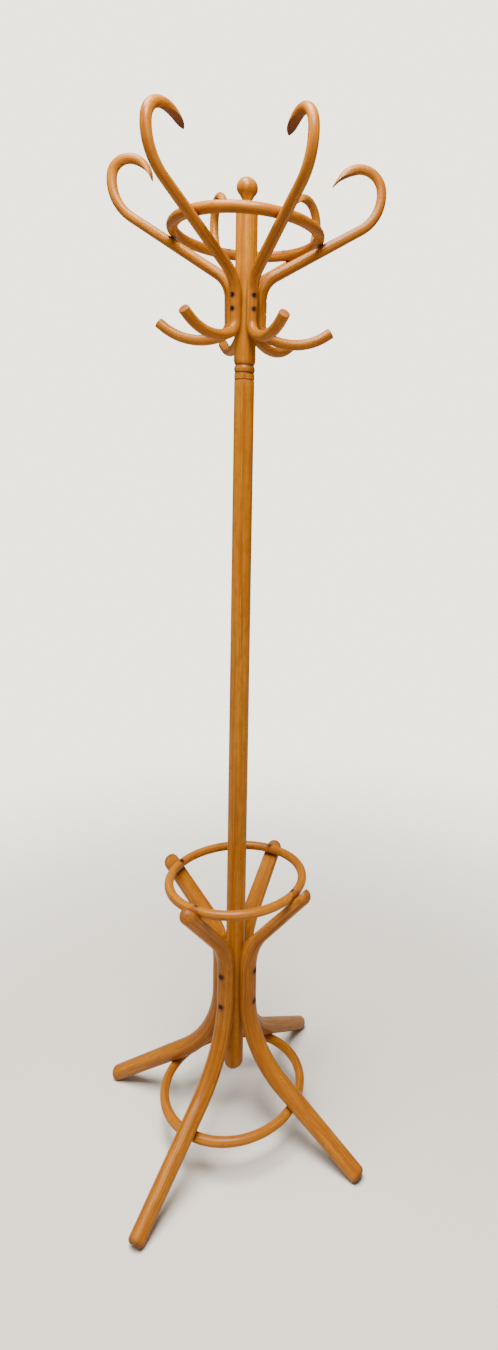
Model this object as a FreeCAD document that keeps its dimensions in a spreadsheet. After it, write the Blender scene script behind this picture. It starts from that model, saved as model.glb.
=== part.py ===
import FreeCAD, Part
import math
import os

import Sketcher
from FreeCAD import Placement, Rotation, Vector

# A bentwood hat and coat stand: a turned post in two lengths, six bent hooks and a ring at the top,
# four bent legs and two rings at the foot. Millimetres, +Z up. The origin is on the floor under the post.

DIMENSIONS = [
    # the two posts and what joins them
    ("lower_post_radius", 18.6, "radius of the long lower post"),
    ("upper_post_radius", 19.9, "radius of the upper post, which carries the hooks"),
    ("post_foot", 120.5, "height of the lower end of the post above the floor"),
    ("foot_rounding", 14, "rounding of the lower end of the post"),
    ("seam", 1506, "height of the lower post's top face"),
    ("seam_radius", 17.2, "radius of both posts at the seam"),
    ("seam_bevel", 2.4, "height of the rounded edge beside the seam"),
    ("band_height", 12.5, "plain band between the seam and the lower groove"),
    ("groove_width", 1.1, "half width of the lower groove"),
    ("groove_arc", 1.15, "arc radius of the lower groove"),
    ("bead_height", 12.5, "height of the bead above the seam"),
    ("bead_arc", 11.5, "arc radius of the bead"),
    ("bead_neck", 17.6, "radius of the groove above the bead"),
    ("bead_neck_height", 2.2, "height of the groove above the bead"),
    ("shoulder_height", 7.5, "height of the rounded shoulder above the groove"),
    ("shoulder_arc", 14, "arc radius of the shoulder"),
    ("post_top", 1799, "height of the upper post's top face"),
    ("top_bevel", 2, "bevel at the top of the upper post"),
    ("spindle_radius", 5, "radius of the steel spindle"),
    ("spindle_reach", 60, "length of the spindle in each post"),
    ("spindle_bevel", 1, "bevel at the ends of the spindle"),
    ("bush_radius", 8, "outer radius of the spindle bush"),
    ("bush_length", 56, "length of the spindle bush"),
    ("running_clearance", 0.05, "radial clearance of the spindle in its bush"),
    ("washer_thickness", 0.8, "thickness of the washer in the seam"),
    ("washer_radius", 15.5, "outer radius of the washer"),
    ("washer_bore", 5.5, "bore of the washer"),
    # the finial
    ("ball_radius", 19.3, "radius of the ball"),
    ("ball_height", 1836.8, "height of the ball's centre"),
    ("ball_shoulder", 13.9, "radius where the underside turns straight"),
    ("ball_shoulder_drop", 11.5, "how far that is below the ball's centre"),
    ("underside_radius", 15, "radius of the arc under the ball"),
    ("neck_radius", 8.6, "radius of the neck under the ball"),
    ("neck_height", 1815.5, "height of the neck"),
    ("finial_foot", 12.5, "radius of the finial's foot on the post"),
    ("neck_arc", 17, "radius of the hollow between the neck and the foot"),
    ("spigot_radius", 6, "radius of the finial's spigot"),
    ("spigot_length", 24, "length of the finial's spigot"),
    # the hooks
    ("hook_centre", 28.6, "distance of a hook's centreline from the post's axis"),
    ("hook_seat", 19.4, "distance of the flats under the hooks from the axis"),
    ("hook_seat_low", 1586, "lower end of the flats on the upper post"),
    ("hook_seat_high", 1660, "upper end of the flats on the upper post"),
    ("hook_run_foot", 1597, "lower end of the hook's straight run on the post"),
    ("hook_run", 45, "length of that run"),
    ("hook_low_radius", 9.8, "rod radius of the lower arm"),
    ("hook_mid_radius", 10.7, "rod radius above the post"),
    ("hook_curl_radius", 9.2, "rod radius of the curl"),
    ("elbow_bend", 51, "bend radius where the hook leaves the post"),
    ("elbow_turn", 59, "turn of that bend"),
    ("hook_reach", 183, "length of the straight slope"),
    ("crown_bend", 78, "bend radius of the outer part of the curl"),
    ("crown_turn", 64, "turn of the outer part of the curl"),
    ("curl_bend", 39, "bend radius of the inner part of the curl"),
    ("curl_turn", 150, "turn of the inner part of the curl"),
    ("curl_tip", 5, "straight end of the curl"),
    ("scarf_turn", 90, "where the scarf starts: degrees before the end of the inner bend"),
    ("scarf_share", 0.8, "radius of the scarf's hollow over its length"),
    ("scarf_tip", 2, "thickness left at the tip"),
    ("arm_bend", 27, "bend radius under the post run"),
    ("arm_turn", 64, "turn of that bend"),
    ("arm_sweep_bend", 108, "bend radius of the lower arm"),
    ("arm_sweep_turn", 58, "turn of the lower arm"),
    ("arm_end", 11, "straight end of the lower arm"),
    ("arm_edge", 1.6, "eased edge at the end of the lower arm"),
    # the legs
    ("leg_centre", 31, "distance of a leg's centreline from the post's axis"),
    ("leg_seat", 18, "distance of the flats behind the legs from the axis"),
    ("leg_seat_low", 235, "lower end of the flats on the lower post"),
    ("leg_seat_high", 392, "upper end of the flats on the lower post"),
    ("leg_run_foot", 284.5, "lower end of the leg's straight run on the post"),
    ("leg_run", 59.7, "length of that run"),
    ("leg_radius", 17, "rod radius of a leg at the post"),
    ("leg_top_radius", 15.5, "rod radius at the top of a leg"),
    ("leg_foot_radius", 15, "rod radius at the foot of a leg"),
    ("leg_top_bend", 125, "bend radius above the post run"),
    ("leg_top_turn", 42.5, "turn of that bend"),
    ("leg_top_run", 130.6, "length of the upper straight, up to its round end"),
    ("leg_plane", 6.7, "distance of the planed face from the upper straight's centreline"),
    ("leg_low_bend", 194, "bend radius below the post run"),
    ("leg_low_turn", 56.4, "turn of that bend"),
    ("leg_low_run", 198.8, "length of the lower straight, up to its rounded edge"),
    ("leg_foot_edge", 7, "rounding of the edge round the foot of a leg"),
    # the rings
    ("hat_ring_radius", 132.4, "radius of the hat ring's centreline"),
    ("hat_tube_radius", 10.3, "rod radius of the hat ring"),
    ("umbrella_ring_radius", 130, "radius of the umbrella ring's centreline"),
    ("umbrella_tube_radius", 8.7, "rod radius of the umbrella ring"),
    ("base_ring_radius", 135.9, "radius of the base ring's centreline"),
    ("base_tube_radius", 9, "rod radius of the base ring"),
    ("hat_ring_gap", 19.9, "from a hook's centreline to the hat ring's"),
    ("umbrella_ring_gap", 14.7, "from a leg's centreline to the umbrella ring's"),
    ("base_ring_gap", 24, "from a leg's centreline to the base ring's"),
    ("ring_play", 0.05, "play around a ring in its notch"),
    ("umbrella_screw_tilt", 24, "how much steeper than square to the leg that ring's screws are"),
    # the slotted countersunk screws
    ("hook_screw_low", 1616, "height of the lower screw of a hook"),
    ("hook_screw_high", 1640, "height of the upper screw of a hook"),
    ("leg_screw_low", 278, "height of the lower screw of a leg"),
    ("leg_screw_high", 341, "height of the upper screw of a leg"),
    ("screw_recess", 1.5, "depth of a screw head below the wood"),
    ("screw_play", 0.1, "radial play of a screw in its hole"),
    ("small_head", 3.9, "head radius of the hook and ring screws"),
    ("small_shank", 2, "shank radius of the hook and ring screws"),
    ("hook_screw_length", 29, "length of a hook screw"),
    ("ring_screw_length", 27, "length of a ring screw"),
    ("large_head", 4.6, "head radius of the leg screws"),
    ("large_shank", 2.4, "shank radius of the leg screws"),
    ("leg_screw_length", 38, "length of a leg screw"),
    ("screw_point", 5, "length of a screw's point"),
    ("slot_width", 1.1, "width of the screw slots"),
    ("slot_depth", 1.1, "depth of the screw slots"),
]
# The hooks were bent and fixed by hand, so no two are quite alike. Each has its direction about the post,
# in degrees from +X. Then what its curl has more than the pattern: degrees of turn, millimetres of bend
# radius and of straight tip. Last, the degrees that its arm and the arm's sweep are bent further.
HOOKS = [
    (0, -5, 0, 19.5, 2.5, 0),
    (54, 0, 0, 0, 0, 0),
    (106, 0, 0, 0, 0, 0),
    (170, 22, -6, 3, 4.5, 1),
    (231.5, -5, 0, 0, 0, 3),
    (293.6, -3, 1.5, 0, 0, 2),
]
# Each leg has its direction, and the millimetres by which its top is longer than the pattern.
LEGS = [(57, -10), (151, -3), (236, 0), (325, 0)]
HOOK_DIRECTIONS = [hook[0] for hook in HOOKS]
LEG_DIRECTIONS = [leg[0] for leg in LEGS]
CUTTER = 60

doc = FreeCAD.newDocument("coat_stand")
sheet = doc.addObject("Spreadsheet::Sheet", "Dims")
for row, (alias, number, note) in enumerate(DIMENSIONS, 1):
    sheet.set(f"A{row}", note)
    sheet.set(f"B{row}", str(number))
    sheet.setAlias(f"B{row}", alias)
doc.recompute()


def size(text):
    """The value of a sum such as "seam + washer_thickness": cell aliases and plain numbers."""
    value, sign = 0.0, 1
    for word in text.split():
        if word in ("+", "-"):
            sign = 1 if word == "+" else -1
        else:
            value += sign * float(sheet.get(word) if word[0].isalpha() else word)
    return value


def formula(text):
    """The same sum as an expression that reads the spreadsheet."""
    return " ".join("Dims." + word if word[0].isalpha() else word for word in text.split())


def bound(kind, name, **sizes):
    """A Part primitive whose sizes follow the spreadsheet."""
    thing = doc.addObject(kind, name)
    for key, text in sizes.items():
        thing.setExpression(key, formula(text))
    return thing


def direction(degrees):
    """The unit vector in the XZ plane at an angle above +X."""
    return Vector(math.cos(math.radians(degrees)), 0, math.sin(math.radians(degrees)))


def about_post(degrees):
    return Placement(Vector(), Rotation(Vector(0, 0, 1), degrees))


def fused(name, shapes):
    joined = doc.addObject("Part::MultiFuse", name)
    joined.Shapes = shapes
    joined.Refine = False
    return joined


def compound(name, shapes):
    group = doc.addObject("Part::Compound", name)
    group.Links = shapes
    return group


def cut(name, base, tool):
    """Base without tool. The volume is compared later, because a cut that misses shows no error."""
    result = doc.addObject("Part::Cut", name)
    result.Base = base
    result.Tool = tool
    result.Refine = False
    CUTS.append(result)
    return result


def cut_all(name, base, tools):
    """Base without each of the tools in turn. The last result carries the name."""
    for number, tool in enumerate(tools, 1):
        last = number == len(tools)
        base = cut(name if last else f"{name}_stage_{number}", base, tool)
    return base


def placed(name, thing, placement):
    """A copy of a thing at another place, as a compound of one, which stays linked to it."""
    copy = compound(name, [thing])
    copy.Placement = placement
    return copy


CUTS = []

# ---------------------------------------------------------------- turned pieces


def circle_centre(start, end, radius, left):
    """Centre of the arc of that radius from start to end that turns left or right."""
    middle = (start + end) * 0.5
    chord = end - start
    normal = Vector(-chord.y, chord.x, 0).normalize()
    rise = math.sqrt(radius**2 - (chord.Length / 2) ** 2)
    return middle + normal * (rise if left else -rise)


def draw_outline(sketch, outline):
    """A closed outline whose corners and arc radii are bound to the spreadsheet.
    Each entry is (radius, height), followed by a radius and "left" or "right" if an arc starts there."""
    corners = [Vector(size(entry[0]), size(entry[1]), 0) for entry in outline]
    for index, entry in enumerate(outline):
        start = corners[index]
        end = corners[(index + 1) % len(corners)]
        if len(entry) == 2:
            sketch.addGeometry(Part.LineSegment(start, end), False)
            continue
        left = entry[3] == "left"
        centre = circle_centre(start, end, size(entry[2]), left)
        first, last = (start, end) if left else (end, start)
        angles = [math.atan2(p.y - centre.y, p.x - centre.x) for p in (first, last)]
        circle = Part.Circle(centre, Vector(0, 0, 1), size(entry[2]))
        sketch.addGeometry(Part.ArcOfCircle(circle, angles[0], angles[1]), False)
    for index, entry in enumerate(outline):
        following = (index + 1) % len(outline)
        first = 1 if len(entry) == 2 or entry[3] == "left" else 2
        last = 3 - first
        after = outline[following]
        joint = 1 if len(after) == 2 or after[3] == "left" else 2
        sketch.addConstraint(Sketcher.Constraint("Coincident", index, last, following, joint))
        if corners[index].x == 0:
            sketch.addConstraint(Sketcher.Constraint("PointOnObject", index, first, -2))
        else:
            pin(sketch, "DistanceX", index, first, corners[index].x, entry[0])
        pin(sketch, "DistanceY", index, first, corners[index].y, entry[1])
        if len(entry) == 4:
            number = sketch.addConstraint(Sketcher.Constraint("Radius", index, size(entry[2])))
            sketch.setExpression(f"Constraints[{number}]", formula(entry[2]))


def pin(sketch, kind, geometry, point, value, text):
    """Fixes one coordinate of a point, measured from the sketch's origin."""
    number = sketch.addConstraint(Sketcher.Constraint(kind, -1, 1, geometry, point, value))
    sketch.setExpression(f"Constraints[{number}]", formula(text))


def origin_plane(body, role):
    return next(item for item in body.Origin.OriginFeatures if item.Role == role)


def new_sketch(body, name, role):
    sketch = body.newObject("Sketcher::SketchObject", name)
    sketch.AttachmentSupport = [(origin_plane(body, role), "")]
    sketch.MapMode = "FlatFace"
    return sketch


def turned(name, outline):
    """A body turned about +Z from an outline of radii and heights."""
    body = doc.addObject("PartDesign::Body", name)
    sketch = new_sketch(body, name + "_profile", "XZ_Plane")
    draw_outline(sketch, outline)
    solid = body.newObject("PartDesign::Revolution", name + "_turning")
    solid.Profile = sketch
    solid.ReferenceAxis = (sketch, ["V_Axis"])
    solid.Angle = 360
    return body


def lower_post_blank():
    """The long post: rounded foot, thin groove, plain band, and a bore for the spindle."""
    groove = "seam - band_height"
    return turned(
        "lower_post_blank",
        [
            ("0", "post_foot"),
            ("lower_post_radius - foot_rounding", "post_foot", "foot_rounding", "left"),
            ("lower_post_radius", "post_foot + foot_rounding"),
            ("lower_post_radius", groove + " - groove_width", "groove_arc", "right"),
            ("lower_post_radius", groove + " + groove_width"),
            ("lower_post_radius", "seam - seam_bevel", "seam_bevel", "left"),
            ("seam_radius", "seam"),
            ("spindle_radius", "seam"),
            ("spindle_radius", "seam - spindle_reach"),
            ("0", "seam - spindle_reach"),
        ],
    )


def upper_post_blank():
    """The short post: bead, groove and shoulder at its lower end, bores for the bush and the finial."""
    base = "seam + washer_thickness"
    bead = base + " + bead_height"
    groove = bead + " + bead_neck_height"
    shoulder = groove + " + shoulder_height"
    bush_top = base + " + spindle_reach + 2"
    return turned(
        "upper_post_blank",
        [
            ("bush_radius", base),
            ("seam_radius", base, "bead_arc", "left"),
            ("bead_neck", bead),
            ("bead_neck", groove, "shoulder_arc", "left"),
            ("upper_post_radius", shoulder),
            ("upper_post_radius", "post_top - top_bevel"),
            ("upper_post_radius - top_bevel", "post_top"),
            ("spigot_radius", "post_top"),
            ("spigot_radius", "post_top - spigot_length"),
            ("0", "post_top - spigot_length"),
            ("0", bush_top),
            ("bush_radius", bush_top),
        ],
    )


def ball_finial():
    """The turned ball with its tapering neck, foot and spigot."""
    shoulder = "ball_height - ball_shoulder_drop"
    return turned(
        "ball_finial",
        [
            ("0", "post_top - spigot_length"),
            ("spigot_radius", "post_top - spigot_length"),
            ("spigot_radius", "post_top"),
            ("finial_foot", "post_top", "neck_arc", "right"),
            ("neck_radius", "neck_height"),
            ("ball_shoulder", shoulder, "underside_radius", "left"),
            ("ball_radius", "ball_height", "ball_radius", "left"),
            ("0", "ball_height + ball_radius"),
        ],
    )


def spindle():
    """The steel pin, half in each post."""
    top = "seam + spindle_reach"
    bottom = "seam - spindle_reach"
    return turned(
        "spindle",
        [
            ("0", bottom),
            ("spindle_radius - spindle_bevel", bottom),
            ("spindle_radius", bottom + " + spindle_bevel"),
            ("spindle_radius", top + " - spindle_bevel"),
            ("spindle_radius - spindle_bevel", top),
            ("0", top),
        ],
    )


def tube(name, inner, outer, low, high):
    return turned(name, [(inner, low), (outer, low), (outer, high), (inner, high)])


# ---------------------------------------------------------------- screws and their holes


def screw(name, head, shank, length):
    """A slotted countersunk screw that points down, with the top of its head at the origin."""
    body = turned(
        name,
        [
            ("0", f"0 - {length}"),
            (shank, f"0 - {length} + screw_point"),
            (shank, f"0 - {head} + {shank}"),
            (head, "0"),
            ("0", "0"),
        ],
    )
    sketch = new_sketch(body, name + "_slot_profile", "XY_Plane")
    half_length = CUTTER / 10
    half_width = size("slot_width") / 2
    corners = [
        Vector(x, y, 0)
        for x, y in (
            (-half_length, -half_width),
            (half_length, -half_width),
            (half_length, half_width),
            (-half_length, half_width),
        )
    ]
    for index, corner in enumerate(corners):
        sketch.addGeometry(Part.LineSegment(corner, corners[(index + 1) % 4]), False)
    for index in range(4):
        sketch.addConstraint(Sketcher.Constraint("Coincident", index, 2, (index + 1) % 4, 1))
    for index, kind in enumerate(("Horizontal", "Vertical", "Horizontal", "Vertical")):
        sketch.addConstraint(Sketcher.Constraint(kind, index))
    sketch.addConstraint(Sketcher.Constraint("Symmetric", 0, 1, 2, 1, -1, 1))
    sketch.addConstraint(Sketcher.Constraint("DistanceX", 0, 1, 0, 2, 2 * half_length))
    number = sketch.addConstraint(Sketcher.Constraint("DistanceY", 1, 1, 1, 2, 2 * half_width))
    sketch.setExpression(f"Constraints[{number}]", formula("slot_width"))
    doc.recompute()
    slot = body.newObject("PartDesign::Pocket", name + "_slot")
    slot.Profile = sketch
    slot.Type = "Length"
    slot.setExpression("Length", formula("slot_depth"))
    slot.Reversed = False
    body.Tip = slot
    return body


def screw_hole(name, head, shank, length):
    """The cutter for a screw's hole: recess, countersink and shank, in the screw's own frame."""
    cone_height = f"{head} - {shank}"
    recess = bound("Part::Cylinder", name + "_recess", Radius=f"{head} + screw_play")
    recess.Height = CUTTER / 4
    cone = bound(
        "Part::Cone",
        name + "_countersink",
        Radius1=f"{shank} + screw_play",
        Radius2=f"{head} + screw_play",
        Height=cone_height,
    )
    cone.Placement.Base = Vector(0, 0, -size(cone_height))
    bore = bound(
        "Part::Cylinder",
        name + "_bore",
        Radius=f"{shank} + screw_play",
        Height=f"{length} + screw_play",
    )
    bore.Placement.Base = Vector(0, 0, -size(f"{length} + screw_play"))
    return fused(name, [recess, cone, bore])


def driven(point, heading):
    """The placement of a screw driven along a heading, with its head's top at a point of the XZ plane."""
    return Placement(point, Rotation(Vector(0, 0, 1), direction(heading) * -1))


# ---------------------------------------------------------------- bent rods


class Rod:
    """A round rod bent in the XZ plane, built end to end from straight runs and bends."""

    def __init__(self, name, point, heading):
        self.name = name
        self.point = self.bend_end = point
        self.heading = heading
        self.pieces = []

    def piece_name(self):
        return f"{self.name}_{len(self.pieces) + 1}"

    def run(self, length, radius, end_radius=None):
        """A straight run, tapered where end_radius is given."""
        along = Rotation(Vector(0, 0, 1), direction(self.heading))
        if end_radius:
            piece = bound(
                "Part::Cone", self.piece_name(), Radius1=radius, Radius2=end_radius, Height=length
            )
        else:
            piece = bound("Part::Cylinder", self.piece_name(), Radius=radius, Height=length)
        piece.Placement = Placement(self.point, along)
        self.pieces.append(piece)
        self.point = self.point + direction(self.heading) * size(length)

    def bend(self, bend_radius, turn, radius, side):
        """A bend to the left (1) or the right (-1) of the way the rod is heading."""
        centre = self.point + direction(self.heading + 90 * side) * size(bend_radius)
        end_heading = self.heading + side * size(turn)
        end = centre - direction(end_heading + 90 * side) * size(bend_radius)
        first = self.point if side > 0 else end
        outward = (first - centre).normalize()
        piece = bound(
            "Part::Torus", self.piece_name(), Radius1=bend_radius, Radius2=radius, Angle3=turn
        )
        axes = Rotation(outward, Vector(0, -1, 0).cross(outward), Vector(0, -1, 0), "ZXY")
        piece.Placement = Placement(centre, axes)
        self.pieces.append(piece)
        self.point = self.bend_end = end
        self.heading = end_heading
        return centre

    def ball(self, radius):
        """A round end."""
        piece = bound("Part::Sphere", self.piece_name(), Radius=radius)
        piece.Placement.Base = self.point
        self.pieces.append(piece)

    def end_with(self, end):
        """A copy of a turned end piece that points along +Z."""
        along = Rotation(Vector(0, 0, 1), direction(self.heading))
        self.pieces.append(placed(self.piece_name(), end, Placement(self.point, along)))


def ring_height(start, heading, ring_radius, gap):
    """Height of a ring whose tube lies against a straight run. The gap is from the run's centreline to the
    tube's centre, positive above the run."""
    along = (ring_radius - start.x) / math.cos(math.radians(heading))
    return start.z + along * math.sin(math.radians(heading)) + gap / math.cos(math.radians(heading))


def ring_cutter(name, radius, tube_radius, height):
    """The notch that a ring lies in: the ring itself, a little larger."""
    tool = bound("Part::Torus", name, Radius1=radius, Radius2=f"{tube_radius} + ring_play")
    tool.Placement.Base = Vector(0, 0, height)
    return tool


def flat_cutter(name, point, heading, length):
    """A box that planes off what is left of a line from a point along a heading, in the XZ plane."""
    box = bound("Part::Box", name, Length=length)
    box.Width = CUTTER
    box.Height = CUTTER
    across = direction(heading + 90)
    axes = Rotation(direction(heading), Vector(0, 1, 0), across, "XZY")
    corner = point - axes.multVec(Vector(0, CUTTER / 2, 0))
    box.Placement = Placement(corner, axes)
    return box


def hook_upper_half(name, curl_more, curl_wider, tip_more):
    """The hook from its run on the post up to its tip, where its slope starts, and its curl's centre."""
    rod = Rod(name, Vector(size("hook_centre"), 0, size("hook_run_foot")), 90)
    rod.run("hook_run", "hook_low_radius", "hook_mid_radius")
    rod.bend("elbow_bend", "elbow_turn", "hook_mid_radius", -1)
    slope = (rod.point, rod.heading)
    rod.run("hook_reach", "hook_mid_radius", "hook_curl_radius")
    rod.bend("crown_bend", "crown_turn", "hook_curl_radius", 1)
    curl_bend = f"curl_bend + {curl_wider}"
    curl_centre = rod.bend(curl_bend, f"curl_turn + {curl_more}", "hook_curl_radius", 1)
    rod.run(f"curl_tip + {tip_more}", "hook_curl_radius")
    return rod, slope, curl_centre


def hook_lower_half(name, arm_more, sweep_more):
    """The hook from its run on the post down and out to the end of its arm."""
    rod = Rod(name, Vector(size("hook_centre"), 0, size("hook_run_foot")), -90)
    rod.bend("arm_bend", f"arm_turn + {arm_more}", "hook_low_radius", 1)
    rod.bend("arm_sweep_bend", f"arm_sweep_turn + {sweep_more}", "hook_low_radius", 1)
    rod.run("arm_end", "hook_low_radius")
    rod.run("arm_edge", "hook_low_radius", "hook_low_radius - arm_edge")
    return rod


def leg_upper_half(name, top_more):
    """The leg from its run on the post up to its round nose, and where its upper straight starts."""
    rod = Rod(name, Vector(size("leg_centre"), 0, size("leg_run_foot")), 90)
    rod.run("leg_run", "leg_radius")
    rod.bend("leg_top_bend", "leg_top_turn", "leg_radius", -1)
    top = (rod.point, rod.heading)
    rod.run(f"leg_top_run + {top_more}", "leg_radius", "leg_top_radius")
    rod.ball("leg_top_radius")
    return rod, top


def leg_lower_half(name):
    """The leg from its run on the post down to its foot, and where its lower straight starts."""
    rod = Rod(name, Vector(size("leg_centre"), 0, size("leg_run_foot")), -90)
    rod.bend("leg_low_bend", "leg_low_turn", "leg_radius", 1)
    slope = (rod.point, rod.heading)
    rod.run("leg_low_run", "leg_radius", "leg_foot_radius")
    rod.end_with(LEG_FOOT)
    return rod, slope


LEG_FOOT = turned(
    "leg_foot_end",
    [
        ("0", "0"),
        ("leg_foot_radius", "0", "leg_foot_edge", "left"),
        ("leg_foot_radius - leg_foot_edge", "leg_foot_edge"),
        ("0", "leg_foot_edge"),
    ],
)
doc.recompute()
HOOK_HALVES = [
    (hook_upper_half(f"hook_{n}_up", *curl), hook_lower_half(f"hook_{n}_down", arm, sweep))
    for n, (_, *curl, arm, sweep) in enumerate(HOOKS, 1)
]
LEG_HALVES = [
    (leg_upper_half(f"leg_{n}_up", top_more), leg_lower_half(f"leg_{n}_down"))
    for n, (_, top_more) in enumerate(LEGS, 1)
]

# Where the rings lie on the hooks and legs. The slopes that they lie on are the same in every hook and leg.
slope_start, slope_heading = HOOK_HALVES[0][0][1]
top_start, top_heading = LEG_HALVES[0][0][1]
low_start, low_heading = LEG_HALVES[0][1][1]
foot_point = LEG_HALVES[0][1][0].point
hat_height = ring_height(slope_start, slope_heading, size("hat_ring_radius"), size("hat_ring_gap"))
umbrella_height = ring_height(
    top_start, top_heading, size("umbrella_ring_radius"), size("umbrella_ring_gap")
)
base_height = ring_height(low_start, low_heading, size("base_ring_radius"), -size("base_ring_gap"))
hat_centre = Vector(size("hat_ring_radius"), 0, hat_height)
umbrella_centre = Vector(size("umbrella_ring_radius"), 0, umbrella_height)
base_centre = Vector(size("base_ring_radius"), 0, base_height)


def through_ring(centre, tube_radius, heading):
    """The place of a screw driven through a ring's tube, with its head let into the far side."""
    return driven(centre - direction(heading) * size(tube_radius + " - screw_recess"), heading)


def into_post(outside, heights):
    """The places of the screws driven straight into a post."""
    return [driven(Vector(outside, 0, size(height)), 180) for height in heights]


hook_outside = size("hook_centre + hook_mid_radius - screw_recess")
leg_outside = size("leg_centre + leg_radius - screw_recess")
umbrella_screw_heading = top_heading - 90 - size("umbrella_screw_tilt")
HOOK_SCREWS = into_post(hook_outside, ("hook_screw_low", "hook_screw_high"))
LEG_SCREWS = into_post(leg_outside, ("leg_screw_low", "leg_screw_high"))
HAT_SCREWS = [through_ring(hat_centre, "hat_tube_radius", slope_heading - 90)]
UMBRELLA_SCREWS = [through_ring(umbrella_centre, "umbrella_tube_radius", umbrella_screw_heading)]
BASE_SCREWS = [through_ring(base_centre, "base_tube_radius", low_heading + 90)]

SCREW_KINDS = {
    "hook_screw": ("small_head", "small_shank", "hook_screw_length"),
    "leg_screw": ("large_head", "large_shank", "leg_screw_length"),
    "ring_screw": ("small_head", "small_shank", "ring_screw_length"),
}
SCREWS = {kind: screw(kind, *sizes) for kind, sizes in SCREW_KINDS.items()}
HOLES = {kind: screw_hole(kind + "_hole", *sizes) for kind, sizes in SCREW_KINDS.items()}
SLOT_STEP = 47
ALONE = [0]


def repeated(name, thing, places, directions):
    """A group of copies of a thing: one at every place, in every direction about the post."""
    copies = []
    for degrees in directions:
        for place in places:
            number = len(copies) + 1
            copies.append(placed(f"{name}_{number}", thing, about_post(degrees) * place))
    return compound(name, copies)


def screw_set(name, kind, places, directions):
    """The screws of one kind of joint. Every slot ends up at its own angle."""
    copies = []
    for degrees in directions:
        for place in places:
            number = len(copies) + 1
            turn = Placement(Vector(), Rotation(Vector(0, 0, 1), SLOT_STEP * number))
            copies.append(placed(f"{name}_{number}", SCREWS[kind], about_post(degrees) * place * turn))
    return compound(name, copies)


def seat_cutter(name, seat, foot, height):
    """A box that planes the flat of a hook or leg where it sits on the post."""
    box = bound("Part::Box", name, Height=height)
    box.Length = CUTTER
    box.Width = CUTTER
    box.Placement.Base = Vector(size(seat) - CUTTER, -CUTTER / 2, size(foot) - CUTTER)
    return box


# ---------------------------------------------------------------- the six hooks
hook_tools = [
    seat_cutter("hook_seat_tool", "hook_seat", "hook_run_foot", "hook_run + 120"),
    ring_cutter("hat_notch", "hat_ring_radius", "hat_tube_radius", hat_height),
    repeated("hook_holes", HOLES["hook_screw"], HOOK_SCREWS, ALONE),
    repeated("hook_ring_holes", HOLES["ring_screw"], HAT_SCREWS, ALONE),
]


def scarf_cutter(name, curl_centre, rod):
    """The hollow that thins a curl towards its tip: part of a cylinder, from the inside of the bend to just
    short of the outside of the tip."""
    outward = rod.heading - 90
    inner_radius = (rod.bend_end - curl_centre).Length - size("hook_curl_radius")
    start = curl_centre + direction(outward - size("scarf_turn")) * inner_radius
    end = rod.point + direction(outward) * size("hook_curl_radius - scarf_tip")
    chord = end - start
    radius = chord.Length * size("scarf_share")
    inward = Vector(-chord.z, 0, chord.x).normalize()
    centre = (start + end) * 0.5 + inward * math.sqrt(radius**2 - (chord.Length / 2) ** 2)
    tool = doc.addObject("Part::Cylinder", name)
    tool.setExpression("Radius", f"Dims.scarf_share * {chord.Length}")
    tool.Height = CUTTER
    tool.Angle = 2 * math.degrees(math.asin(chord.Length / 2 / radius))
    first = (start - centre).normalize()
    axes = Rotation(first, Vector(0, -1, 0).cross(first), Vector(0, -1, 0), "ZXY")
    tool.Placement = Placement(centre + Vector(0, CUTTER / 2, 0), axes)
    return tool


def hook(number):
    name = f"hook_{number}"
    (upper, _, curl_centre), lower = HOOK_HALVES[number - 1]
    blank = fused(name + "_blank", upper.pieces + lower.pieces)
    scarf = scarf_cutter(name + "_scarf", curl_centre, upper)
    pattern = cut_all(name + "_pattern", blank, [scarf, *hook_tools])
    return placed(name, pattern, about_post(HOOK_DIRECTIONS[number - 1]))


# ---------------------------------------------------------------- the four legs
plane_start = top_start + direction(top_heading + 90) * size("leg_plane") - direction(top_heading) * CUTTER
floor_tool = doc.addObject("Part::Box", "floor_tool")
floor_tool.Length = 2 * CUTTER
floor_tool.Width = CUTTER
floor_tool.Height = CUTTER
floor_tool.Placement.Base = Vector(foot_point.x - CUTTER, -CUTTER / 2, -CUTTER)
leg_tools = [
    seat_cutter("leg_seat_tool", "leg_seat", "leg_run_foot", "leg_run + 180"),
    flat_cutter("leg_plane_tool", plane_start, top_heading, "leg_top_run + 90"),
    floor_tool,
    ring_cutter("umbrella_notch", "umbrella_ring_radius", "umbrella_tube_radius", umbrella_height),
    ring_cutter("base_notch", "base_ring_radius", "base_tube_radius", base_height),
    repeated("leg_holes", HOLES["leg_screw"], LEG_SCREWS, ALONE),
    repeated("leg_umbrella_holes", HOLES["ring_screw"], UMBRELLA_SCREWS, ALONE),
    repeated("leg_base_holes", HOLES["ring_screw"], BASE_SCREWS, ALONE),
]


def leg(number):
    name = f"leg_{number}"
    (upper, _), (lower, _) = LEG_HALVES[number - 1]
    blank = fused(name + "_blank", upper.pieces + lower.pieces)
    pattern = cut_all(name + "_pattern", blank, leg_tools)
    return placed(name, pattern, about_post(LEG_DIRECTIONS[number - 1]))


# ---------------------------------------------------------------- rings and posts
def ring(name, radius, tube_radius, height, places, directions):
    """A bent ring with its screw holes. Its seam is turned to where it has no hole."""
    blank = bound("Part::Torus", name + "_blank", Radius1=radius, Radius2=tube_radius)
    between_screws = Rotation(Vector(0, 0, 1), (directions[0] + directions[1]) / 2)
    blank.Placement = Placement(Vector(0, 0, height), between_screws)
    holes = repeated(name + "_holes", HOLES["ring_screw"], places, directions)
    return cut(name, blank, holes)


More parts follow.
